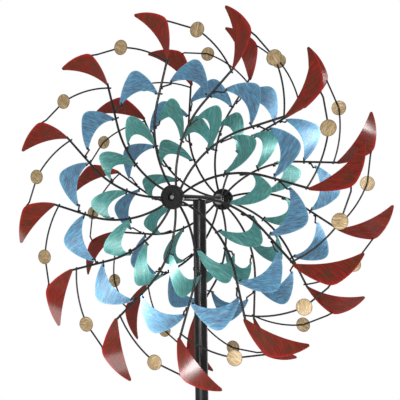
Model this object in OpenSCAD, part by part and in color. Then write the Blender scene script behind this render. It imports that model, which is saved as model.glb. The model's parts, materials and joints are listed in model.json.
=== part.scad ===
// Garden wind spinner: two counter-turning wheels of coloured sheet-metal vanes on a
// swivelling head, on a two-piece pole with a ground fork.
// Axes: +Z up along the pole, Y along the axle with the front wheel at -Y, X across.
// Origin: the pole's axis at soil level. The prongs are below it.

/* [Stand] */
// Height of the axle above the soil
axle_height = 1500; // [1300:10:1700]
// Outside diameter of the pole and of the head tube
pole_d = 22; // [20:0.5:24]
// Wall thickness of the pole tubes
pole_wall = 1.5; // [1.2:0.1:2]
// Length of the swivelling head tube below the axle
head_tube_l = 420; // [360:10:500]
// Diameter of the pivot rod that the head turns on
pivot_d = 10; // [8:0.5:12]
// Depth of the centre spike below the soil
spike_depth = 200; // [150:10:260]
// Diameter of the centre spike
spike_d = 12; // [10:1:14]
// Depth of the two side prongs below the soil
prong_depth = 160; // [120:10:200]
// Diameter of the side prongs
prong_d = 8; // [6:1:10]
// Distance of each side prong from the spike
prong_reach = 60; // [50:5:70]

/* [Axle and hubs] */
// Outside diameter of the axle tube
axle_d = 10.6; // [10:0.2:12]
// Diameter of the threaded stud through the axle tube
stud_d = 6; // [5:1:6]
// Distance from the middle of the head to each hub's outer face
hub_face = 109; // [105:1:120]
// Diameter of the hub caps
cap_d = 38.6; // [36:0.2:42]
// Outside diameter of the bearing housings
housing_d = 22; // [22:0.5:24]

/* [Wheels] */
// Number of arms on each wheel
arm_count = 12; // [12]
// Diameter of the curved arms
arm_d = 3.8; // [3.2:0.1:4.2]
// Bend radius of the curved arms
arm_bend = 168; // [160:1:176]
// Diameter of the disc wires and vane ties
wire_d = 2.8; // [2:0.1:3.2]
// Angle of the rear wheel ahead of the front one
rear_phase = 13.3; // [0:0.1:29]

/* [Vanes and discs] */
// Thickness of the sheet-metal vanes
sheet_t = 0.8; // [0.6:0.1:1]
// Diameter of the round discs
disc_d = 25; // [20:1:30]
// Thickness of the round discs
disc_t = 1; // [0.8:0.1:1.5]

/* [Hidden] */
$fn = 48;
pitch = 360 / arm_count;
slack = 0.05;
weld = 0.3;
// Where a straight run follows a bend, it starts this far inside and is this much thinner
lap = 2;
draw = 0.1;

// Vane corners on a wheel: [radius, angle counter-clockwise from +X, height over the mid-plane].
// The first corner is at the vane's own arm, the second is ahead of it, the third is the apex.
red_corners = [[222.2, 92.2, 103.7], [304.7, 103.2, 89.2], [283.4, 92, 100.9]];
blue_corners = [[168, 100, 99.8], [185, 122.5, 86.6], [218.1, 109.1, 96.8]];
green_corners = [[90.8, 114.4, 90.6], [126.9, 135, 80.3], [159.3, 121.5, 90.1]];
vane_overhang = 2;
// How far the middle of each vane's inner edge lies behind its two tips
red_sag = 6.9;
blue_sag = 3.5;
green_sag = 3.4;

// Arm centreline in the wheel's plane: a bend, then a straight run tangent to it
arm_belly = [-34.6, 106];
arm_root_turn = 34.9;
arm_tip_turn = 16.7;
arm_straight = 71;
arm_root_z = hub_face - 15.9;
arm_lean = 2.3;
arm_bend_centre = [arm_belly[0] + arm_bend, arm_belly[1]];
arm_bend_end = arm_bend_centre + arm_bend * [-cos(arm_tip_turn), sin(arm_tip_turn)];

disc_place = [265, 111.2, 94];
disc_pitch = 3.7;
disc_wire_start = 214;
disc_wire_bow = 6.5;
disc_wire_kink = [-5, -1.5, -8];
disc_wire_gap = 1;
disc_wire_stub = 3;
apex_weld = [-3, 0, -1.2];
disc_wire_side = [1, 100, 0];
tie_drop = 9;
tie_end = 4;
bend_swell = 1.06;

// Hub stack, as heights over the mid-plane
axle_end = hub_face - 25;
washer_t = 1.5;
boss_l = 2;
boss_d = 9;
bearing_w = 6;
bearing_gap = 4.5;
bearing_d = 19;
bearing_in = axle_end + washer_t + boss_l;
bearing_out = bearing_in + bearing_w + bearing_gap;
bearing_end = bearing_out + bearing_w;
housing_end = bearing_end + 0.5;
cap_t = 5.5;
flange_d = 32;
flange_t = 2.5;
flange_z = arm_root_z + 0.9 + arm_d / 2;
nut_t = 3;
stud_end = hub_face - 1;
ring_r = [3, 4.6, 7.6, 9.5];
ball_d = 3.1;
ball_count = 7;
groove_d = 3.2;

// Levels of the pole joints
head_top = axle_height - 3.5;
head_bottom = axle_height - head_tube_l;
pole_top = head_bottom - 6;
pole_split = 560;
pole_bore = pole_d - 2 * pole_wall;
plate_t = 4;
collar_t = 5;
pole_foot = plate_t + collar_t;
pivot_tip = axle_height - 45;
seat_l = 16;
plug_l = 40;
swage_l = 60;
screw_d = 5;
screw_head = [10, 5];
plate_w = 28;

BEARING_HEIGHTS = [bearing_in, bearing_out];
SIDES = ["front", "rear"];
function two_digits(n) = n < 10 ? str("0", n) : str(n);
function arm_name(side, n) = str(side, "_arm_", two_digits(n));
ARM_NODES = [for (side = SIDES) for (n = [1:arm_count]) arm_name(side, n)];
WHEEL_PARTS = [
    "red_vanes", "blue_vanes", "green_vanes", "gold_discs", "disc_wires",
    "vane_ties", "hub_housing", "hub_cap", "bearing_outer_rings", "bearing_balls"
];
WHEEL_NODES = [for (side = SIDES) for (name = WHEEL_PARTS) str(side, "_", name)];
HEAD_NODES = [
    "head_tube", "axle_tube", "axle_stud", "axle_washers", "axle_nuts",
    "bearing_inner_rings", "bearing_spacers", "pivot_seat", "pivot_bushing"
];
STAND_NODES = [
    "centre_spike", "side_prongs", "step_plate", "lower_pole", "upper_pole",
    "pivot_rod", "clamp_screws"
];

function unit(v) = v / norm(v);
function polar(p) = [p[0] * cos(p[1]), p[0] * sin(p[1]), p[2]];
function turned(p, a) = [p[0] * cos(a) - p[1] * sin(a), p[0] * sin(a) + p[1] * cos(a), p[2]];
function bezier(a, c, b, t) = (1 - t) * (1 - t) * a + 2 * t * (1 - t) * c + t * t * b;
function right_of(v) = [v[1], -v[0]];
function bowed(a, b, bow, t) = a + t * (b - a) + 4 * bow * t * (1 - t) * right_of(unit(b - a));

// Places a drawing-plane wheel, X right, Y up and Z outwards, on its side of the head
module on_side(side) {
    mirror([0, side == "rear" ? 1 : 0, 0])
        translate([0, 0, axle_height])
            rotate([90, 0, 0])
                rotate([0, 0, side == "rear" ? rear_phase : 0])
                    children();
}

module each_arm() {
    for (n = [0:arm_count - 1])
        rotate([0, 0, n * pitch])
            children();
}

module both_sides() {
    for (side = SIDES)
        on_side(side)
            children();
}

module in_frame(x, y, z, origin) {
    multmatrix([
        [x[0], y[0], z[0], origin[0]],
        [x[1], y[1], z[1], origin[1]],
        [x[2], y[2], z[2], origin[2]],
        [0, 0, 0, 1]
    ])
        children();
}

module tube(r_in, r_out, h) {
    difference() {
        cylinder(r = r_out, h = h);
        translate([0, 0, -1])
            cylinder(r = r_in, h = h + 2);
    }
}

module rod(p, q, d) {
    v = q - p;
    translate(p)
        rotate([0, acos(v[2] / norm(v)), atan2(v[1], v[0])])
            cylinder(d = d, h = norm(v), $fn = 24);
}

// Wire along a list of points, with a slightly fuller bend at each inner point
module bent_wire(points) {
    for (i = [1:len(points) - 1])
        rod(points[i - 1], points[i], wire_d);
    for (i = [1:len(points) - 2])
        translate(points[i])
            sphere(d = wire_d * bend_swell, $fn = 24);
}

function bow_radius(p, q, bow) = ((q - p) * (q - p) / 4 + bow * bow) / (2 * bow);
function bow_turn(p, q, bow) = asin(norm(q - p) / (2 * bow_radius(p, q, bow)));
function bow_up(p, q, side) =
    let (chord = unit(q - p))
    unit(side - (side * chord) * chord);
function bow_heading(p, q, bow, side) =
    cos(bow_turn(p, q, bow)) * unit(q - p) - sin(bow_turn(p, q, bow)) * bow_up(p, q, side);

// Wire from p to q, bowed towards side by the given amount
module bowed_wire(p, q, bow, side) {
    chord = unit(q - p);
    up = bow_up(p, q, side);
    r = bow_radius(p, q, bow);
    turn = bow_turn(p, q, bow);
    in_frame(up, chord, cross(up, chord), (p + q) / 2 - (r - bow) * up)
        rotate([0, 0, -turn])
            rotate_extrude(angle = 2 * turn, $fn = 180)
                translate([r, 0])
                    circle(d = wire_d, $fn = 24);
}

// ---- Arms ----

function lean(p) = [p[0], p[1] * cos(arm_lean), arm_root_z + p[1] * sin(arm_lean)];
function arm_x(y) = y < arm_bend_end[1]
    ? arm_bend_centre[0] - sqrt(arm_bend * arm_bend - (y - arm_belly[1]) * (y - arm_belly[1]))
    : arm_bend_end[0] + (y - arm_bend_end[1]) * tan(arm_tip_turn);
function on_arm(y) = lean([arm_x(y), y]);

module arm() {
    color("#1c1b1d")
        translate([0, 0, arm_root_z])
            rotate([arm_lean, 0, 0]) {
                translate(arm_bend_centre)
                    rotate([0, 0, 180 - arm_tip_turn])
                        rotate_extrude(angle = arm_tip_turn + arm_root_turn, $fn = 180)
                            translate([arm_bend, 0])
                                circle(d = arm_d);
                translate(arm_bend_end)
                    rotate([0, 0, -arm_tip_turn])
                        rotate([-90, 0, 0])
                            translate([0, 0, -lap])
                                cylinder(d = arm_d - draw, h = arm_straight + lap);
            }
}

// ---- Vanes ----

// The rounded end of a vane, from its one corner round to the other
function tip_cap(tip, out, side, tip_w) = [
    for (i = [0:4]) tip + tip_w / 2 * cos(45 * i) * side + 0.4 * tip_w * sin(45 * i) * out
];

// Outline in the vane's own plane: the outer edge over the apex, then the hollow inner edge
function vane_outline(half, apex, bows, hollow, tip_w, tip_turn, round) =
    let (
        out = [cos(tip_turn), -sin(tip_turn)],
        side = [sin(tip_turn), cos(tip_turn)],
        own = tip_cap([half + vane_overhang, 0], out, side, tip_w),
        far = tip_cap([-half - vane_overhang, 0], [-out[0], out[1]], [-side[0], side[1]], tip_w),
        rise = bowed(own[0], apex, bows[0], 1 - round),
        fall = bowed(apex, far[0], bows[1], round),
        steps = 7
    )
    concat(
        [for (i = [0:steps - 1]) bowed(own[0], apex, bows[0], (1 - round) * i / steps)],
        [for (i = [0:steps]) bezier(rise, apex, fall, i / steps)],
        [for (i = [1:steps - 1]) bowed(apex, far[0], bows[1], round + (1 - round) * i / steps)],
        far,
        [for (i = [1:2 * steps - 1]) bezier(far[4], hollow, own[4], i / (2 * steps))],
        [for (i = [4:-1:1]) own[i]]
    );

// Sheet bent along the vane, its hollow side out, through the two ends and the apex
module bent_sheet(half, apex, r) {
    back = sqrt(r * r - half * half);
    rotate([asin((sqrt(r * r - apex[0] * apex[0]) - back) / apex[1]), 0, 0])
        translate([0, -2 * half, back])
            rotate([-90, 0, 0])
                tube(r - sheet_t / 2, r + sheet_t / 2, 4 * half, $fn = 180);
}

// A vane cut to its outline from a bent sheet
module vane(corners, sag, apex_reach, bows, hollow, tip_w, tip_turn, round) {
    p = [for (c = corners) polar(c)];
    middle = (p[0] + p[1]) / 2;
    x = unit(p[0] - p[1]);
    z = unit(cross(x, p[2] - p[1]));
    y = cross(z, x);
    half = norm(p[0] - p[1]) / 2;
    apex = [(p[2] - middle) * x, (p[2] - middle) * y];
    r = (half * half + sag * sag) / (2 * sag);
    in_frame(x, y, z, middle)
        intersection() {
            bent_sheet(half, apex, r);
            translate([0, 0, -half])
                linear_extrude(2 * half)
                    polygon(vane_outline(
                        half, apex * apex_reach, bows, hollow, tip_w, tip_turn, round));
        }
}

module red_vanes(side) {
    color("#9c2a22")
        on_side(side)
            each_arm()
                vane(red_corners, red_sag, 1.03, [3.4, 5.4], [-4.4, 10.9], 5, 22, 0.14);
}

module blue_vanes(side) {
    color("#4f8fc4")
        on_side(side)
            each_arm()
                vane(blue_corners, blue_sag, 1.08, [5.4, 5.7], [2, 25.2], 4, 35, 0.2);
}

module green_vanes(side) {
    color("#2f9b86")
        on_side(side)
            each_arm()
                vane(green_corners, green_sag, 1.06, [7.7, 4.4], [-22.8, 34.7], 4, 40, 0.22);
}

// ---- Discs and small wires ----

module gold_discs(side) {
    color("#c4ad7b")
        on_side(side)
            each_arm()
                translate(polar(disc_place))
                    rotate([0, 0, disc_place[1]])
                        rotate([-disc_pitch, 0, 0])
                            cylinder(d = disc_d, h = disc_t);
}

// Two wires to each disc: one bowed out from the arm, one on to the next red vane's apex,
// with a kink just before it
module disc_wires(side) {
    root = on_arm(disc_wire_start) + [0, 0, -(arm_d + wire_d) / 2 + weld];
    under_disc = polar(disc_place) - [0, 0, wire_d / 2 - weld];
    start = root - disc_wire_stub * unit(under_disc - root);
    outward = polar(disc_wire_side);
    heading = bow_heading(start, under_disc, disc_wire_bow, outward);
    vane_apex = polar(red_corners[2] + [0, pitch, 0] + apex_weld);
    kink = polar(red_corners[2] + disc_wire_kink + [0, pitch, 0]);
    color("#1c1b1d")
        on_side(side)
            each_arm() {
                bowed_wire(start, under_disc, disc_wire_bow, outward);
                bent_wire([under_disc + disc_wire_gap * heading, kink, vane_apex]);
            }
}

// A straight stub across the vane's own arm at the first corner, and a bent hook to the
// next arm at the second corner
module vane_tie(corners) {
    tip = polar(corners[0]);
    crossing = on_arm(tip[1]) + [0, 0, -(arm_d + wire_d) / 2 + weld];
    along = unit(crossing - tip);
    rod(tip - wire_d * along, crossing + tie_end * along, wire_d);
    far_tip = turned(polar(corners[1]), -pitch);
    landing_y = far_tip[1] - tie_drop;
    beside = [(arm_d + wire_d) / 2 - weld, 0, 0];
    rotate([0, 0, pitch])
        bent_wire([
            far_tip + [0, 1.5, 0.5],
            far_tip + [-1, -4, 1.5],
            on_arm(landing_y) + beside,
            on_arm(landing_y - tie_end) + beside
        ]);
}

module vane_ties(side) {
    color("#1c1b1d")
        on_side(side)
            each_arm() {
                vane_tie(blue_corners);
                vane_tie(green_corners);
            }
}

// ---- Hubs ----

module hub_housing(side) {
    color("#242225")
        on_side(side)
            difference() {
                union() {
                    translate([0, 0, bearing_in])
                        cylinder(d = housing_d, h = housing_end - bearing_in);
                    translate([0, 0, flange_z])
                        cylinder(d = flange_d, h = flange_t);
                }
                translate([0, 0, bearing_in - 1])
                    cylinder(d = bearing_d, h = bearing_w + 1);
                translate([0, 0, bearing_in])
                    cylinder(d = bearing_d - 3, h = housing_end);
                translate([0, 0, bearing_out])
                    cylinder(d = bearing_d, h = housing_end);
            }
}

// Turned cap with raised rings on its face and an open middle for the axle nut
module hub_cap(side) {
    back = hub_face - cap_t;
    r = cap_d / 2;
    color("#242225")
        on_side(side)
            difference() {
                translate([0, 0, back])
                    cylinder(r = r, h = cap_t);
                translate([0, 0, back - 1])
                    cylinder(d = housing_d, h = 1 + housing_end - back);
                translate([0, 0, back])
                    cylinder(r = 6.5, h = cap_t + 1);
                translate([0, 0, hub_face - 1.2])
                    tube(r - 3.5, r - 2.2, 2);
                translate([0, 0, hub_face - 0.6])
                    tube(9.5, r - 3.6, 2);
                translate([0, 0, hub_face - 1.2])
                    tube(8.4, 9.6, 2);
            }
}

module bearing_ring(r_in, r_out) {
    difference() {
        tube(r_in, r_out, bearing_w);
        translate([0, 0, bearing_w / 2])
            rotate_extrude()
                translate([(ring_r[1] + ring_r[2]) / 2, 0])
                    circle(d = groove_d + 0.3);
    }
}

module bearing_outer_rings(side) {
    color("#9a9ca0")
        on_side(side)
            for (z = BEARING_HEIGHTS)
                translate([0, 0, z])
                    bearing_ring(ring_r[2], ring_r[3]);
}

module bearing_inner_rings() {
    color("#9a9ca0")
        both_sides()
            for (z = BEARING_HEIGHTS)
                translate([0, 0, z])
                    bearing_ring(ring_r[0], ring_r[1]);
}

module bearing_balls(side) {
    color("#b9bbbf")
        on_side(side)
            for (z = BEARING_HEIGHTS)
                for (n = [0:ball_count - 1])
                    rotate([0, 0, n * 360 / ball_count])
                        translate([(ring_r[1] + ring_r[2]) / 2, 0, z + bearing_w / 2])
                            sphere(d = ball_d, $fn = 24);
}

// ---- Head ----

module head_tube() {
    color("#1c1b1d")
        difference() {
            translate([0, 0, head_bottom])
                tube(pole_bore / 2, pole_d / 2, head_top - head_bottom);
            translate([0, 0, axle_height])
                rotate([90, 0, 0])
                    cylinder(d = axle_d, h = 2 * pole_d, center = true);
        }
}

module axle_tube() {
    color("#1c1b1d")
        translate([0, -axle_end, axle_height])
            rotate([-90, 0, 0])
                tube(stud_d / 2, axle_d / 2, 2 * axle_end);
}

module axle_stud() {
    color("#77797c")
        translate([0, -stud_end, axle_height])
            rotate([-90, 0, 0])
                cylinder(d = stud_d, h = 2 * stud_end);
}

module axle_washers() {
    color("#a8a9ac")
        both_sides()
            translate([0, 0, axle_end])
                difference() {
                    union() {
                        cylinder(d = 16, h = washer_t);
                        cylinder(d = boss_d, h = washer_t + boss_l);
                    }
                    translate([0, 0, -1])
                        cylinder(d = stud_d, h = washer_t + boss_l + 2);
                }
}

module axle_nuts() {
    color("#a8a9ac")
        both_sides()
            translate([0, 0, bearing_end])
                difference() {
                    cylinder(d = 11, h = nut_t, $fn = 6);
                    translate([0, 0, -1])
                        cylinder(d = stud_d, h = nut_t + 2);
                }
}

module bearing_spacers() {
    color("#a8a9ac")
        both_sides()
            translate([0, 0, bearing_in + bearing_w])
                tube(stud_d / 2, boss_d / 2, bearing_gap);
}

// Plug fixed inside the head tube, with a round seat on the pivot rod's tip
module pivot_seat() {
    color("#8a8c90")
        difference() {
            translate([0, 0, pivot_tip - pivot_d / 2])
                cylinder(d = pole_bore, h = seat_l);
            translate([0, 0, pivot_tip - pivot_d / 2])
                sphere(d = pivot_d + 2 * slack);
        }
}

module pivot_bushing() {
    color("#d8d8d4")
        translate([0, 0, head_bottom])
            tube(pivot_d / 2 + slack, pole_bore / 2, 24);
}

// ---- Stand ----

module pivot_rod() {
    color("#8a8c90")
        union() {
            translate([0, 0, pole_top - plug_l])
                cylinder(d = pole_bore, h = plug_l);
            translate([0, 0, pole_top])
                cylinder(d = pole_d, h = 3);
            translate([0, 0, pole_top])
                cylinder(d = pivot_d, h = pivot_tip - pivot_d / 2 - pole_top);
            translate([0, 0, pivot_tip - pivot_d / 2])
                sphere(d = pivot_d);
        }
}

module upper_pole() {
    color("#1c1b1d")
        translate([0, 0, pole_split])
            tube(pole_bore / 2, pole_d / 2, pole_top - pole_split);
}

// Its top end is drawn down to slide into the upper pole
module lower_pole() {
    swage_d = pole_bore - 2 * slack;
    color("#1c1b1d")
        difference() {
            union() {
                translate([0, 0, pole_foot])
                    cylinder(d = pole_d, h = pole_split - pole_foot);
                translate([0, 0, pole_split - 1])
                    cylinder(d = swage_d, h = swage_l + 1);
            }
            translate([0, 0, pole_foot - 1])
                cylinder(d = pole_bore, h = pole_split - pole_foot - 9);
            translate([0, 0, pole_foot])
                cylinder(d = swage_d - 2 * pole_wall, h = pole_split + swage_l);
        }
}

module centre_spike() {
    color("#1c1b1d")
        union() {
            translate([0, 0, -spike_depth])
                cylinder(r1 = 0.5, d2 = spike_d, h = 25);
            translate([0, 0, 25 - spike_depth])
                cylinder(d = spike_d, h = spike_depth - 25);
            translate([0, 0, -1])
                cylinder(d = spike_d - 2, h = plate_t + 2);
            translate([0, 0, plate_t])
                cylinder(d = pole_d + 6, h = collar_t);
            translate([0, 0, pole_foot])
                cylinder(d = pole_bore - 2 * slack, h = 90);
        }
}

module side_prongs() {
    color("#1c1b1d")
        for (x = [-prong_reach, prong_reach])
            translate([x, 0, 0]) {
                translate([0, 0, -prong_depth])
                    cylinder(r1 = 0.5, d2 = prong_d, h = 20);
                translate([0, 0, 20 - prong_depth])
                    cylinder(d = prong_d, h = prong_depth - 20);
            }
}

module step_plate() {
    color("#1c1b1d")
        difference() {
            linear_extrude(plate_t) {
                square([2 * prong_reach + plate_w - prong_d, plate_w], center = true);
                for (x = [-1, 1])
                    translate([x * (prong_reach + (plate_w - prong_d) / 2), 0])
                        circle(d = plate_w);
            }
            translate([0, 0, -1])
                cylinder(d = spike_d - 2, h = plate_t + 2);
        }
}

module clamp_screw(z) {
    translate([pole_d / 2 - pole_wall - 0.5, 0, z])
        rotate([0, 90, 0]) {
            cylinder(d = screw_d, h = 6);
            translate([0, 0, 2.5])
                cylinder(d = screw_head[0], h = screw_head[1]);
        }
}

module clamp_screws() {
    color("#a8a9ac") {
        clamp_screw(pole_foot + 50);
        clamp_screw(pole_split + 30);
    }
}

for (side = SIDES) {
    red_vanes(side);
    blue_vanes(side);
    green_vanes(side);
    gold_discs(side);
    disc_wires(side);
    vane_ties(side);
    hub_housing(side);
    hub_cap(side);
    bearing_outer_rings(side);
    bearing_balls(side);
    for (n = [1:arm_count])
        on_side(side)
                rotate([0, 0, (n - 1) * pitch])
                    arm();
}
head_tube();
axle_tube();
axle_stud();
axle_washers();
axle_nuts();
bearing_inner_rings();
bearing_spacers();
pivot_seat();
pivot_bushing();
pivot_rod();
upper_pole();
lower_pole();
centre_spike();
side_prongs();
step_plate();
clamp_screws();
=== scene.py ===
"""Looks for the garden wind spinner: camera, materials, finer vanes and discs, floor and light."""
import json
import math
import random

import bpy
from mathutils import Euler, Matrix, Vector


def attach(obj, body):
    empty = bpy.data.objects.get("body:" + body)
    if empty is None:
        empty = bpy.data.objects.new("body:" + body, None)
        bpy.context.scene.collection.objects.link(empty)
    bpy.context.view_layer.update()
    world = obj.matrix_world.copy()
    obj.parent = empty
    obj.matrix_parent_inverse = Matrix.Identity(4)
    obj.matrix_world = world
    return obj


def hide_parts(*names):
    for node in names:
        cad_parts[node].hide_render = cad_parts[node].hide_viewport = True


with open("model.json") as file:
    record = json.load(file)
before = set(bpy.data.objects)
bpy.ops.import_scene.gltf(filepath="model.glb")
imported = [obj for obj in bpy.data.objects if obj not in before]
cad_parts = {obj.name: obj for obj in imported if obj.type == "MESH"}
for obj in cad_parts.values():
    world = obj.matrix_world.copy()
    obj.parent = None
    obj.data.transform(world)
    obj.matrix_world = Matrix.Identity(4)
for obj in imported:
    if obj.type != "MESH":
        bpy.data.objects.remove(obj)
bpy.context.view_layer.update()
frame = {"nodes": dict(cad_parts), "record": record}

MM = 0.001
SIDES = ("front", "rear")
scene = bpy.context.scene
nodes = frame["nodes"]

# ---- Camera ----

CAMERA_TARGET = Vector((0, 0, 1.5))
CAMERA_AZIMUTH = math.radians(23.37)
CAMERA_ELEVATION = math.radians(-1.395)
CAMERA_ROLL = math.radians(-0.713)
CAMERA_DISTANCE = 1.3426
SENSOR_WIDTH = 36
LENS = 71.6
CAMERA_SHIFT = (0.0016, -0.0042)

camera_data = bpy.data.cameras.new("camera")
camera_data.sensor_width = SENSOR_WIDTH
camera_data.lens = LENS
camera_data.shift_x, camera_data.shift_y = CAMERA_SHIFT
camera = bpy.data.objects.new("camera", camera_data)
scene.collection.objects.link(camera)
scene.camera = camera
camera_back = Vector((
    math.sin(CAMERA_AZIMUTH) * math.cos(CAMERA_ELEVATION),
    -math.cos(CAMERA_AZIMUTH) * math.cos(CAMERA_ELEVATION),
    math.sin(CAMERA_ELEVATION),
))
camera.matrix_world = (
    Matrix.Translation(CAMERA_TARGET + CAMERA_DISTANCE * camera_back)
    @ camera_back.to_track_quat("Z", "Y").to_matrix().to_4x4()
    @ Matrix.Rotation(CAMERA_ROLL, 4, "Z")
)

# ---- The wheels' layout, the same numbers as in part.scad, in millimetres ----

AXLE_HEIGHT = 1500
ARM_COUNT = 12
PITCH = 360 / ARM_COUNT
REAR_PHASE = 13.3
SHEET_T = 0.8
OVERHANG = 2
DISC_PLACE = (265, 111.2, 94)
DISC_PITCH = 3.7
DISC_D = 25
DISC_T = 1

# corners: own-arm corner, forward corner and apex, as radius, angle and height over the axle's middle
# sag: how far the middle lies behind the tips; reach: the outline's apex over the sheet's
# bows, hollow: how the outer edges and the inner edge curve; tip, turn: the tips' width and turn
# round: share of each outer edge that the apex's rounding takes
VANES = {
    "red": {
        "corners": ((222.2, 92.2, 103.7), (304.7, 103.2, 89.2), (283.4, 92, 100.9)), "sag": 6.9,
        "reach": 1.03, "bows": (3.4, 5.4), "hollow": (-4.4, 10.9), "tip": 5, "turn": 22, "round": 0.14,
    },
    "blue": {
        "corners": ((168, 100, 99.8), (185, 122.5, 86.6), (218.1, 109.1, 96.8)), "sag": 3.5,
        "reach": 1.08, "bows": (5.4, 5.7), "hollow": (2, 25.2), "tip": 4, "turn": 35, "round": 0.2,
    },
    "green": {
        "corners": ((90.8, 114.4, 90.6), (126.9, 135, 80.3), (159.3, 121.5, 90.1)), "sag": 3.4,
        "reach": 1.06, "bows": (7.7, 4.4), "hollow": (-22.8, 34.7), "tip": 4, "turn": 40, "round": 0.22,
    },
}


def polar(radius, angle, height):
    a = math.radians(angle)
    return Vector((radius * math.cos(a), radius * math.sin(a), height))


def on_wheel(side, step, point):
    """A point of the drawing plane, turned to one of the twelve places, in metres in the frame."""
    turn = step * PITCH + (REAR_PHASE if side == "rear" else 0)
    x, y, z = Matrix.Rotation(math.radians(turn), 3, "Z") @ point
    return Vector((x, z if side == "rear" else -z, AXLE_HEIGHT + y)) * MM


def new_object(name, vertices, faces, smooth=True):
    mesh = bpy.data.meshes.new(name)
    mesh.from_pydata([tuple(v) for v in vertices], [], faces)
    mesh.validate()
    mesh.polygons.foreach_set("use_smooth", [smooth] * len(mesh.polygons))
    mesh.update()
    piece = bpy.data.objects.new(name, mesh)
    scene.collection.objects.link(piece)
    return piece


# ---- Node helpers ----

def node_tree(material):
    material.use_nodes = True
    tree = material.node_tree
    tree.nodes.clear()
    output = tree.nodes.new("ShaderNodeOutputMaterial")
    shader = tree.nodes.new("ShaderNodeBsdfPrincipled")
    tree.links.new(shader.outputs[0], output.inputs[0])
    return tree, shader


def set_inputs(node, **values):
    """Constants set on a node's own sockets; a name's underscores stand for spaces."""
    for name, value in values.items():
        node.inputs[name.replace("_", " ")].default_value = value


def add(tree, kind, **settings):
    node = tree.nodes.new("ShaderNode" + kind)
    for key, value in settings.items():
        setattr(node, key, value)
    return node


def feed(tree, socket, value):
    if isinstance(value, bpy.types.NodeSocket):
        tree.links.new(value, socket)
    else:
        socket.default_value = value


def maths(tree, operation, a, b=0.0):
    node = add(tree, "Math", operation=operation)
    feed(tree, node.inputs[0], a)
    feed(tree, node.inputs[1], b)
    return node.outputs[0]


def span(tree, value, low, high, out_low=0.0, out_high=1.0):
    node = add(tree, "MapRange", interpolation_type="SMOOTHSTEP")
    for socket, v in zip(node.inputs, (value, low, high, out_low, out_high)):
        feed(tree, socket, v)
    return node.outputs[0]


def mix(tree, factor, a, b, blend="MIX"):
    node = add(tree, "Mix", data_type="RGBA", blend_type=blend)
    feed(tree, node.inputs[0], factor)
    feed(tree, node.inputs[6], a)
    feed(tree, node.inputs[7], b)
    return node.outputs[2]


def noise(tree, vector, scale, detail=3.0, roughness=0.55, distortion=0.0):
    node = add(tree, "TexNoise")
    feed(tree, node.inputs["Vector"], vector)
    set_inputs(node, Scale=scale, Detail=detail, Roughness=roughness, Distortion=distortion)
    return node.outputs[0]


def stretched(tree, vector, scale):
    node = add(tree, "Mapping")
    feed(tree, node.inputs["Vector"], vector)
    set_inputs(node, Scale=scale)
    return node.outputs[0]


def bump(tree, height, strength, distance):
    node = add(tree, "Bump")
    set_inputs(node, Strength=strength, Distance=distance)
    feed(tree, node.inputs["Height"], height)
    return node.outputs[0]


def rgb(r, g, b):
    """Linear colour from 0-255 display values."""
    def linear(c):
        c /= 255
        return c / 12.92 if c <= 0.04045 else ((c + 0.055) / 1.055) ** 2.4
    return (linear(r), linear(g), linear(b), 1)


# How far the brushing is moved for one step of a piece's three random numbers, in centimetres
BRUSH_SHIFT = (37, 53, 71)
# How much lighter one vane's paint may be than another's
SHADE_SPREAD = 0.16
# Depth of the brushing, in metres
BRUSH_DEPTH = 0.00012


def brushed_coordinates(tree, lean, spread):
    """Coordinates along and across the brushing of one cut piece, in centimetres, turned and moved
    piece by piece. Returns them and the piece's three random numbers."""
    cut = add(tree, "UVMap", uv_map="cut")
    tone = add(tree, "Attribute", attribute_name="tone")
    parts = add(tree, "SeparateColor")
    feed(tree, parts.inputs[0], tone.outputs["Color"])
    angle = maths(tree, "MULTIPLY_ADD", parts.outputs[0], spread)
    angle.node.inputs[2].default_value = lean - spread / 2
    turn = add(tree, "VectorRotate", rotation_type="Z_AXIS")
    feed(tree, turn.inputs["Vector"], cut.outputs[0])
    feed(tree, turn.inputs["Angle"], angle)
    move = add(tree, "VectorMath", operation="MULTIPLY_ADD")
    feed(tree, move.inputs[0], tone.outputs["Color"])
    move.inputs[1].default_value = BRUSH_SHIFT
    feed(tree, move.inputs[2], turn.outputs[0])
    return move.outputs[0], parts


def out_from_hollow(tree):
    """From 0 on a piece's inner edge, or its middle, to 1 on its outer edge."""
    edge = add(tree, "UVMap", uv_map="edge")
    across = add(tree, "SeparateXYZ")
    feed(tree, across.inputs[0], edge.outputs[0])
    return across.outputs[1]


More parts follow.
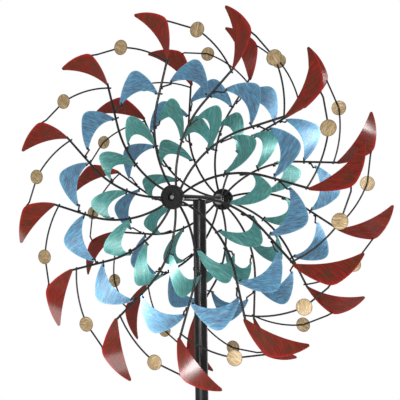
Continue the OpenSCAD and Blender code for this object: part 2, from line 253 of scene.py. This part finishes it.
def vane_paint(name, look):
    """Clear-coated paint over brushed steel: fine streaks, patina in the middle, and a painted
    highlight, a lighter band of colour along the outer edge.
    """
    material = bpy.data.materials.new(name)
    tree, shader = node_tree(material)
    at, tones = brushed_coordinates(tree, look["lean"], look["spread"])
    fine = noise(tree, stretched(tree, at, (0.9, 11, 1)), 1, 4, 0.62)
    broad = noise(tree, stretched(tree, at, (0.35, 2.2, 1)), 1, 3, 0.55, 0.4)
    cloud = noise(tree, at, 0.55, 2, 0.5)
    streak = span(tree, fine, 0.36, 0.66)
    colour = mix(tree, streak, look["deep"], look["mid"])
    colour = mix(tree, span(tree, broad, 0.5, 0.72, 0, look["light_share"]), colour, look["light"])
    across = out_from_hollow(tree)
    inner = maths(tree, "MULTIPLY", span(tree, across, 0.02, 0.3), span(tree, across, 0.98, 0.62))
    patches = maths(tree, "ADD", cloud, maths(tree, "MULTIPLY", broad, 0.5))
    stain = maths(tree, "MULTIPLY", span(tree, patches, 0.55, 0.95), inner)
    stain = maths(tree, "MULTIPLY", stain, span(tree, fine, 0.62, 0.4, 0.45, 1))
    colour = mix(tree, maths(tree, "MULTIPLY", stain, look["stain_share"]), colour, look["stain"])
    # Painted highlight: the colour turns lighter over the band along the outer edge
    rim = span(tree, across, look["rim_highlight_from"], 1.0)
    colour = mix(tree, maths(tree, "MULTIPLY", rim, look["rim_highlight_share"]), colour, look["rim"])
    shade = maths(tree, "MULTIPLY_ADD", tones.outputs[1], SHADE_SPREAD)
    shade.node.inputs[2].default_value = 1 - SHADE_SPREAD / 2
    grey = add(tree, "CombineXYZ")
    for socket in grey.inputs:
        feed(tree, socket, shade)
    colour = mix(tree, 1.0, colour, grey.outputs[0], "MULTIPLY")
    feed(tree, shader.inputs["Base Color"], colour)
    roughness = span(tree, fine, 0.3, 0.7, look["rough"] - 0.05, look["rough"] + 0.09)
    feed(tree, shader.inputs["Roughness"], roughness)
    set_inputs(shader, Metallic=look["metallic"], Specular_IOR_Level=look["specular"])
    set_inputs(shader, Coat_Weight=look["coat"], Coat_Roughness=look["coat_rough"])
    feed(tree, shader.inputs["Normal"], bump(tree, maths(tree, "ADD", fine, broad), 0.25, BRUSH_DEPTH))
    return material


def brushed_gold(name):
    """Brushed brass, lacquered, a little darker along the cut edge."""
    material = bpy.data.materials.new(name)
    tree, shader = node_tree(material)
    at = brushed_coordinates(tree, 0, 2.2)[0]
    fine = noise(tree, stretched(tree, at, (1.3, 15, 1)), 1, 4, 0.65, 0.5)
    broad = noise(tree, stretched(tree, at, (0.8, 4.5, 1)), 1, 2, 0.5, 0.8)
    colour = mix(tree, span(tree, fine, 0.36, 0.64), rgb(128, 102, 66), rgb(202, 174, 128))
    colour = mix(tree, span(tree, broad, 0.5, 0.7, 0, 0.7), colour, rgb(226, 204, 162))
    ragged = maths(tree, "ADD", out_from_hollow(tree), maths(tree, "MULTIPLY", fine, 0.12))
    colour = mix(tree, span(tree, ragged, 0.92, 1.06, 0, 0.75), colour, rgb(88, 70, 44))
    feed(tree, shader.inputs["Base Color"], colour)
    feed(tree, shader.inputs["Roughness"], span(tree, fine, 0.3, 0.7, 0.34, 0.5))
    set_inputs(shader, Metallic=0.5, Coat_Weight=0.5, Coat_Roughness=0.25)
    feed(tree, shader.inputs["Normal"], bump(tree, fine, 0.3, BRUSH_DEPTH))
    return material


# How much lighter the black coat is where it has faded
FADED_BLACK = 1.9


def black_coat(name, base, rough, specular, coat, grain, grain_height):
    """Black powder coat: fine orange peel, a little unevenness of gloss and depth."""
    material = bpy.data.materials.new(name)
    tree, shader = node_tree(material)
    at = add(tree, "TexCoord").outputs["Object"]
    peel = noise(tree, at, grain, 2, 0.5)
    uneven = noise(tree, at, 60, 3, 0.6)
    faded = tuple(FADED_BLACK * c for c in base[:3]) + (1,)
    colour = mix(tree, span(tree, uneven, 0.35, 0.7), base, faded)
    feed(tree, shader.inputs["Base Color"], colour)
    feed(tree, shader.inputs["Roughness"], span(tree, uneven, 0.3, 0.7, rough - 0.05, rough + 0.07))
    set_inputs(shader, Specular_IOR_Level=specular, Coat_Weight=coat, Coat_Roughness=0.16)
    feed(tree, shader.inputs["Normal"], bump(tree, peel, 0.35, grain_height))
    return material


def bare_metal(name, dark, light, rough, scale):
    """Plated or ground steel with fine turning marks and uneven dulling."""
    material = bpy.data.materials.new(name)
    tree, shader = node_tree(material)
    at = add(tree, "TexCoord").outputs["Object"]
    marks = noise(tree, stretched(tree, at, scale), 1, 3, 0.6)
    dull = noise(tree, at, 90, 3, 0.6)
    colour = mix(tree, span(tree, dull, 0.35, 0.7), dark, light)
    feed(tree, shader.inputs["Base Color"], colour)
    feed(tree, shader.inputs["Roughness"], span(tree, marks, 0.3, 0.7, rough - 0.08, rough + 0.1))
    set_inputs(shader, Metallic=1.0)
    feed(tree, shader.inputs["Normal"], bump(tree, marks, 0.3, 0.00003))
    return material


def moulded_plastic(name):
    """White plastic with a fine moulded grain."""
    material = bpy.data.materials.new(name)
    tree, shader = node_tree(material)
    at = add(tree, "TexCoord").outputs["Object"]
    grain = noise(tree, at, 1500, 2, 0.5)
    cloud = noise(tree, at, 120, 2, 0.5)
    feed(tree, shader.inputs["Base Color"], mix(tree, cloud, rgb(214, 213, 204), rgb(232, 231, 224)))
    feed(tree, shader.inputs["Roughness"], span(tree, cloud, 0.3, 0.7, 0.42, 0.52))
    feed(tree, shader.inputs["Normal"], bump(tree, grain, 0.2, 0.00003))
    return material


# The rim colour is a painted highlight: a lighter band along each vane's outer edge, over the outermost
# share of its width
LOOKS = {
    "red": {
        "lean": 0.5, "spread": 1.2, "deep": rgb(92, 10, 0), "mid": rgb(146, 26, 2),
        "light": rgb(170, 54, 12), "light_share": 0.45, "stain": rgb(78, 40, 8), "stain_share": 0.85,
        "rim_highlight_from": 0.82, "rim": rgb(178, 20, 10), "rim_highlight_share": 0.7,
        "metallic": 0.1, "rough": 0.5, "specular": 0.1, "coat": 0.8, "coat_rough": 0.14,
    },
    "blue": {
        "lean": 0.6, "spread": 1.6, "deep": rgb(72, 110, 140), "mid": rgb(102, 172, 210),
        "light": rgb(146, 206, 232), "light_share": 0.5, "stain": rgb(92, 90, 112), "stain_share": 0.6,
        "rim_highlight_from": 0.88, "rim": rgb(132, 186, 216), "rim_highlight_share": 0.5,
        "metallic": 0.5, "rough": 0.36, "specular": 0.5, "coat": 0.6, "coat_rough": 0.2,
    },
    "green": {
        "lean": 0.4, "spread": 1.4, "deep": rgb(52, 118, 116), "mid": rgb(84, 162, 156),
        "light": rgb(138, 206, 200), "light_share": 0.45, "stain": rgb(84, 118, 112), "stain_share": 0.4,
        "rim_highlight_from": 0.9, "rim": rgb(112, 190, 172), "rim_highlight_share": 0.4,
        "metallic": 0.45, "rough": 0.36, "specular": 0.5, "coat": 0.7, "coat_rough": 0.18,
    },
}
paints = {colour: vane_paint(colour + "_paint", look) for colour, look in LOOKS.items()}
gold = brushed_gold("disc_brass")
black = black_coat("black_paint", (0.008, 0.0076, 0.0086, 1), 0.34, 0.25, 0.2, 1400, 0.00004)
hub_black = black_coat("hub_black", (0.008, 0.0078, 0.0086, 1), 0.38, 0.25, 0.15, 900, 0.00005)
zinc = bare_metal("zinc_steel", rgb(140, 141, 144), rgb(196, 197, 200), 0.36, (40, 900, 40))
bearing = bare_metal("bearing_steel", rgb(150, 151, 154), rgb(205, 206, 208), 0.22, (60, 1400, 60))
plastic = moulded_plastic("white_plastic")

SLOT_LOOKS = {
    "black_paint": black, "zinc_steel": zinc, "bearing_steel": bearing, "white_plastic": plastic,
    "red_paint": paints["red"], "blue_paint": paints["blue"], "green_paint": paints["green"],
    "disc_brass": gold,
}
for row in frame["record"]["subparts"]:
    carried = nodes[row["node"]]
    look = hub_black if "hub_" in row["node"] else SLOT_LOOKS[row["material_slot"]]
    for material_slot in carried.material_slots:
        material_slot.material = look

# ---- Vanes ----

ALONG = 40
ACROSS = 8
EDGE_STEPS = 20
# Rounding of the vanes' and the discs' cut edges, in metres, and the angle that counts as an edge
CUT_EDGE = 0.00022
DISC_EDGE = 0.0003
CUT_ANGLE = math.radians(50)
# How far a rounded tip stands out, as a share of its half width
TIP_ROUND = 0.8
# Slight unevenness of each vane, as random waves: height in millimetres, turn per millimetre along and
# across the vane and turn at the start, in radians
WAVE_HEIGHT = 0.12
WAVE_ALONG = (0.02, 0.05)
WAVE_ACROSS = (0.03, 0.08)
WAVE_START = (0, 6.3)


def right_of(v):
    return Vector((v.y, -v.x))


def bowed(a, b, bow, t):
    """A point on the way from a to b, along an edge that bows to the right by the given amount."""
    return a + t * (b - a) + 4 * bow * t * (1 - t) * right_of((b - a).normalized())


def bezier(a, c, b, t):
    return (1 - t) ** 2 * a + 2 * t * (1 - t) * c + t * t * b


def evenly(points, count):
    """The polyline's points, spaced evenly along it."""
    lengths = [0.0]
    for a, b in zip(points, points[1:]):
        lengths.append(lengths[-1] + (b - a).length)
    spaced, i = [], 0
    for n in range(count + 1):
        target = lengths[-1] * n / count
        while i < len(points) - 2 and lengths[i + 1] < target:
            i += 1
        share = (target - lengths[i]) / max(lengths[i + 1] - lengths[i], 1e-9)
        spaced.append(points[i].lerp(points[i + 1], min(share, 1)))
    return spaced


def vane_edges(half, apex, shape):
    """The outer edge over the apex and the hollow inner edge, from the own-arm end to the forward end,
    and the way out at each rounded end."""
    turn, reach = math.radians(shape["turn"]), half + OVERHANG
    out, side = Vector((math.cos(turn), -math.sin(turn))), Vector((math.sin(turn), math.cos(turn)))
    far_out, far_side = Vector((-out.x, out.y)), Vector((-side.x, side.y))
    own, far, width = Vector((reach, 0)), Vector((-reach, 0)), shape["tip"] / 2
    start, end = own + width * side, far + width * far_side
    corner, (bow_in, bow_out) = shape["round"], shape["bows"]
    rise = bowed(start, apex, bow_in, 1 - corner)
    fall = bowed(apex, end, bow_out, corner)
    steps = EDGE_STEPS
    outer = [bowed(start, apex, bow_in, (1 - corner) * i / steps) for i in range(steps)]
    outer += [bezier(rise, apex, fall, i / steps) for i in range(steps)]
    outer += [bowed(apex, end, bow_out, corner + (1 - corner) * i / steps) for i in range(steps + 1)]
    first, last, hollow = own - width * side, far - width * far_side, Vector(shape["hollow"])
    inner = [bezier(first, hollow, last, i / (2 * steps)) for i in range(2 * steps + 1)]
    ends = {0: TIP_ROUND * width * out, ALONG: TIP_ROUND * width * far_out}
    return evenly(outer, ALONG), evenly(inner, ALONG), ends


def sheet_surface(half, apex, sag):
    """Height and outward normal of the bent sheet over a point of the vane's plane."""
    r = (half * half + sag * sag) / (2 * sag)
    back = math.sqrt(r * r - half * half)
    lift = (math.sqrt(r * r - apex.x * apex.x) - back) / apex.y
    level = math.sqrt(1 - lift * lift)

    def surface(x, y):
        root = math.sqrt(r * r - x * x)
        point = Vector((x, y, (y * lift - root + back) / level))
        return point, Vector((-x / root / level, -lift / level, 1)).normalized()
    return surface


def vane_node(side, colour, seed):
    """The twelve vanes of one colour on one wheel, in place of their CAD node."""
    shape = VANES[colour]
    own, forward, top = (polar(*c) for c in shape["corners"])
    middle = (own + forward) / 2
    x = (own - forward).normalized()
    z = x.cross(top - forward).normalized()
    y = z.cross(x)
    half = (own - forward).length / 2
    apex = Vector(((top - middle).dot(x), (top - middle).dot(y)))
    surface = sheet_surface(half, apex, shape["sag"])
    outer, inner, ends = vane_edges(half, apex * shape["reach"], shape)
    draw = random.Random(seed)
    vertices, faces, cuts, edges, tones = [], [], [], [], []
    row = ACROSS + 1
    sheet = (ALONG + 1) * row
    for step in range(ARM_COUNT):
        first = len(vertices)
        tone = [draw.random() for _ in range(3)]
        waves = [
            (draw.uniform(*WAVE_ALONG), draw.uniform(*WAVE_ACROSS), draw.uniform(*WAVE_START))
            for _ in range(3)
        ]
        for face_of_sheet in (1, -1):
            for i in range(ALONG + 1):
                for j in range(row):
                    s = j / ACROSS
                    p = inner[i].lerp(outer[i], s)
                    if i in ends:
                        p += ends[i] * math.sin(math.pi * s)
                    point, normal = surface(p.x, p.y)
                    wave = sum(math.sin(a * p.x + b * p.y + c) for a, b, c in waves) * WAVE_HEIGHT
                    point += normal * (face_of_sheet * SHEET_T / 2 + wave)
                    drawn = middle + x * point.x + y * point.y + z * point.z
                    vertices.append(on_wheel(side, step, drawn))
                    cuts.append((p.x / 10, p.y / 10))
                    edges.append((i / ALONG, s))
                    tones.append(tone)
        front = [first + n for n in range(sheet)]
        back = [n + sheet for n in front]
        flip = side == "rear"

        def quad(a, b, c, d):
            faces.append((a, b, c, d) if not flip else (d, c, b, a))
        for i in range(ALONG):
            for j in range(ACROSS):
                a, b = i * row + j, (i + 1) * row + j
                quad(front[a], front[a + 1], front[b + 1], front[b])
                quad(back[a], back[b], back[b + 1], back[a + 1])
        rim = [i * row for i in range(ALONG + 1)] + [ALONG * row + j for j in range(1, row)]
        rim += [i * row + ACROSS for i in range(ALONG - 1, -1, -1)] + list(range(ACROSS - 1, 0, -1))
        for a, b in zip(rim, rim[1:] + rim[:1]):
            quad(front[a], front[b], back[b], back[a])
    piece = new_object(f"{side}_{colour}_vane_sheets", vertices, faces)
    finish_cut_piece(piece, cuts, edges, tones, paints[colour], CUT_EDGE)
    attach(piece, side + "_wheel")
    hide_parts(f"{side}_{colour}_vanes")


def finish_cut_piece(piece, cuts, edges, tones, material, edge_width):
    """Coordinates, the random tone of each cut piece, material and rounded cut edges."""
    mesh = piece.data
    loop_vertices = [loop.vertex_index for loop in mesh.loops]
    for layer, values in (("cut", cuts), ("edge", edges)):
        flat = [c for v in loop_vertices for c in values[v]]
        mesh.uv_layers.new(name=layer).data.foreach_set("uv", flat)
    colours = mesh.color_attributes.new("tone", "FLOAT_COLOR", "POINT")
    colours.data.foreach_set("color", [c for t in tones for c in (*t, 1)])
    mesh.materials.append(material)
    bevel = piece.modifiers.new("cut_edge", "BEVEL")
    bevel.width = edge_width
    bevel.segments = 2
    bevel.limit_method = "ANGLE"
    bevel.angle_limit = CUT_ANGLE
    bevel.harden_normals = True


for side_number, side in enumerate(SIDES):
    for colour_number, colour in enumerate(VANES):
        vane_node(side, colour, 10 * side_number + colour_number)

# ---- Discs ----

# Radii of the rings of points, and how far the middle stands up, in millimetres
DISC_RINGS = (0, 2.5, 5, 7.5, 10, 11.6, 12.5)
DISC_SEGMENTS = 48
DISC_DOME = 0.35


def disc_node(side, seed):
    """The twelve discs of one wheel, in place of their CAD node."""
    draw = random.Random(seed)
    vertices, faces, cuts, edges, tones = [], [], [], [], []
    turn = math.radians(DISC_PLACE[1])
    lean = Euler((math.radians(-DISC_PITCH), 0, turn), "XYZ").to_matrix()
    place = polar(*DISC_PLACE)
    outline = DISC_D / 2
    for step in range(ARM_COUNT):
        tone = [draw.random() for _ in range(3)]
        first = len(vertices)
        for level in (DISC_T, 0):
            for ring in DISC_RINGS:
                dome = DISC_DOME * (1 - (ring / outline) ** 2)
                for n in range(DISC_SEGMENTS if ring else 1):
                    a = 2 * math.pi * n / DISC_SEGMENTS
                    flat = Vector((ring * math.cos(a), ring * math.sin(a), 0))
                    raised = flat + Vector((0, 0, level + dome))
                    vertices.append(on_wheel(side, step, place + lean @ raised))
                    cuts.append((flat.x / 10, flat.y / 10))
                    edges.append((n / DISC_SEGMENTS, ring / outline))
                    tones.append(tone)
        half = (len(vertices) - first) // 2
        flip = side == "rear"

        def face(*corners):
            faces.append(corners[::-1] if flip else corners)
        for under in (0, 1):
            base = first + under * half
            for n in range(DISC_SEGMENTS):
                m = (n + 1) % DISC_SEGMENTS
                triangle = (base, base + 1 + n, base + 1 + m)
                face(*(triangle[::-1] if under else triangle))
                for ring in range(len(DISC_RINGS) - 2):
                    a = base + 1 + ring * DISC_SEGMENTS
                    b = a + DISC_SEGMENTS
                    square = (a + n, b + n, b + m, a + m)
                    face(*(square[::-1] if under else square))
        top, bottom = first + half - DISC_SEGMENTS, first + 2 * half - DISC_SEGMENTS
        for n in range(DISC_SEGMENTS):
            m = (n + 1) % DISC_SEGMENTS
            face(top + n, bottom + n, bottom + m, top + m)
    piece = new_object(f"{side}_brushed_discs", vertices, faces)
    finish_cut_piece(piece, cuts, edges, tones, gold, DISC_EDGE)
    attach(piece, side + "_wheel")
    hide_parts(f"{side}_gold_discs")


for side_number, side in enumerate(SIDES):
    disc_node(side, 100 + side_number)

# ---- Stage ----

FLOOR_RADIUS = 3.2
FLOOR_CORNERS = 96
floor_turns = [n * 2 * math.pi / FLOOR_CORNERS for n in range(FLOOR_CORNERS)]
floor_edge = [FLOOR_RADIUS * Vector((math.cos(a), math.sin(a), 0)) for a in floor_turns]
floor = new_object("floor", floor_edge, [tuple(range(FLOOR_CORNERS))], False)
floor_material = bpy.data.materials.new("floor")
tree, shader = node_tree(floor_material)
set_inputs(shader, Base_Color=(0.82, 0.82, 0.82, 1), Roughness=0.9)
floor.data.materials.append(floor_material)

world = bpy.data.worlds.new("world")
scene.world = world
world.use_nodes = True
tree = world.node_tree
tree.nodes.clear()
# The camera sees plain white; the object is lit by a dimmer sky
SKY_STRENGTH = 0.42
sky = add(tree, "Background")
white = add(tree, "Background")
set_inputs(white, Color=(1, 1, 1, 1))
set_inputs(sky, Color=(1, 1, 1, 1), Strength=SKY_STRENGTH)
seen = add(tree, "MixShader")
feed(tree, seen.inputs[0], add(tree, "LightPath").outputs["Is Camera Ray"])
tree.links.new(sky.outputs[0], seen.inputs[1])
tree.links.new(white.outputs[0], seen.inputs[2])
output = add(tree, "OutputWorld")
tree.links.new(seen.outputs[0], output.inputs[0])


def soft_box(name, place, target, width, height, power):
    """A rectangular studio light at a place in metres, turned to its target, with its power in watts."""
    data = bpy.data.lights.new(name, "AREA")
    data.shape = "RECTANGLE"
    data.size, data.size_y = width, height
    data.energy = power
    light = bpy.data.objects.new(name, data)
    scene.collection.objects.link(light)
    light.location = place
    light.rotation_mode = "QUATERNION"
    light.rotation_quaternion = (Vector(target) - Vector(place)).to_track_quat("-Z", "Y")


soft_box("front_box", (0.8, -2.35, 1.22), CAMERA_TARGET, 0.45, 0.5, 24)
soft_box("low_box", (0.0, -2.45, 0.95), CAMERA_TARGET, 1.3, 0.7, 16)
soft_box("top_box", (0.6, 0.4, 3.4), CAMERA_TARGET, 1.4, 1.4, 12)
soft_box("rear_box", (0.9, 2.4, 1.1), CAMERA_TARGET, 0.7, 0.7, 12)

scene.view_settings.view_transform = "Standard"
scene.view_settings.look = "None"
